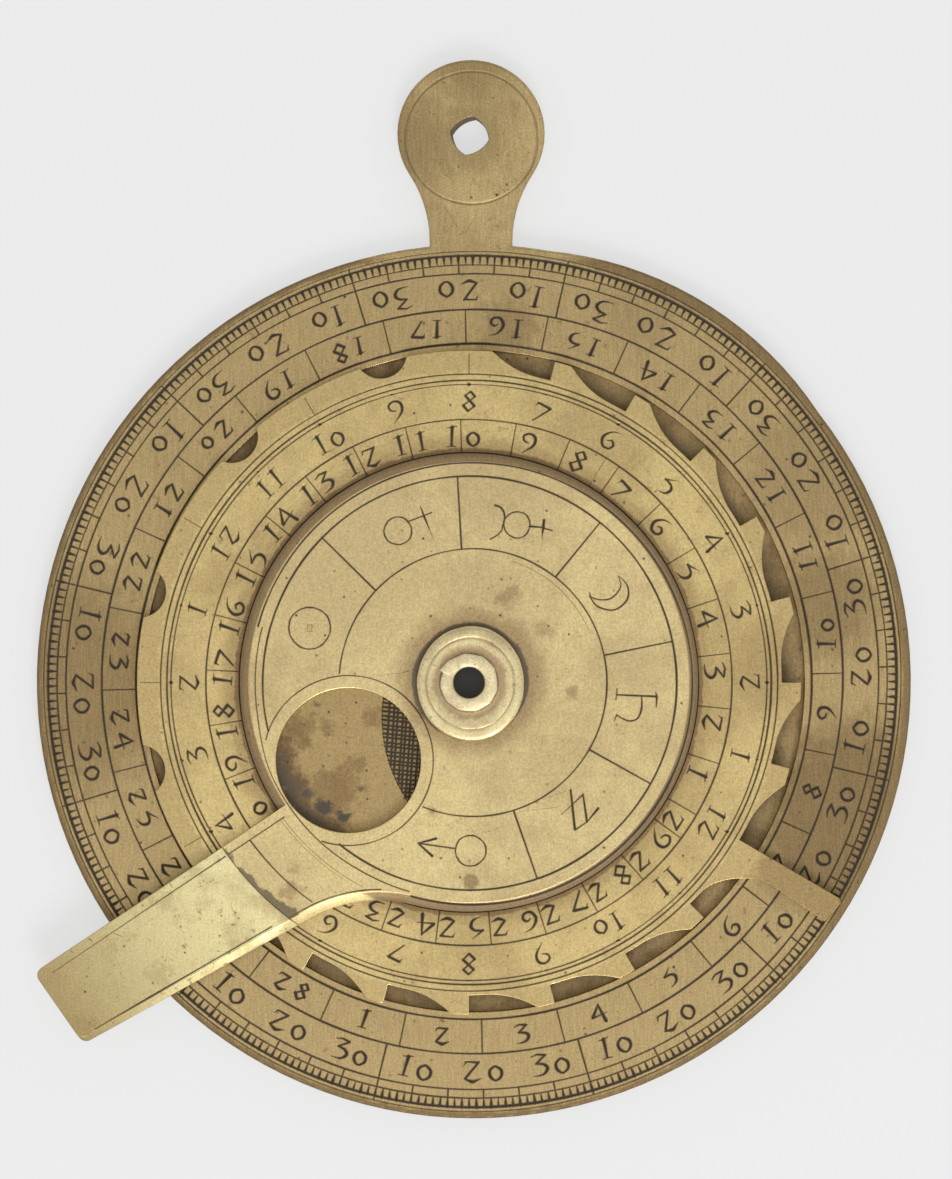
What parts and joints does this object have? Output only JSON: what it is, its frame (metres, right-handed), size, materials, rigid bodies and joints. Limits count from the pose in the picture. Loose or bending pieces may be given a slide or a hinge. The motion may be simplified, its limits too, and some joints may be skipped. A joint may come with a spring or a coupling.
{
  "type": "nocturnal dial",
  "caption": "Flat round hand instrument with a pierced handle, a toothed hour disc, a moon disc with a window and an index arm, all turning on a hollow pivot.",
  "frame": {"origin": "on the pivot axis, at the back face that the instrument lies on", "axes": "+Z along the sight tube, out of the dial; +Y towards the handle; +X to the right, seen from the dial side"},
  "size_m": [0.1001, 0.1213, 0.006],
  "materials": {
    "plate_brass": "hand-scraped, dull brown patina",
    "limb_brass": "engraved, worn, brown in the grooves",
    "disc_brass": "engraved, hand-polished, brown in the grooves",
    "rivet_brass": "hammered bright"
  },
  "bodies": {
    "base": {"back_plate": "plate_brass", "limb_plate": "limb_brass", "boss_washer": "plate_brass", "spring_collar": "rivet_brass", "sight_tube": "rivet_brass"},
    "hour_dial": {"hour_disc": "disc_brass"},
    "moon_dial": {"moon_disc": "disc_brass", "index_blade": "disc_brass"}
  },
  "joints": [
    {"name": "hour_turn", "type": "hinge", "parent": "base", "child": "hour_dial", "pos_m": [0, 0, 0.00285], "axis": [0, 0, 1], "continuous": true},
    {"name": "moon_turn", "type": "hinge", "parent": "base", "child": "moon_dial", "pos_m": [0, 0, 0.0041], "axis": [0, 0, 1], "continuous": true}
  ]
}
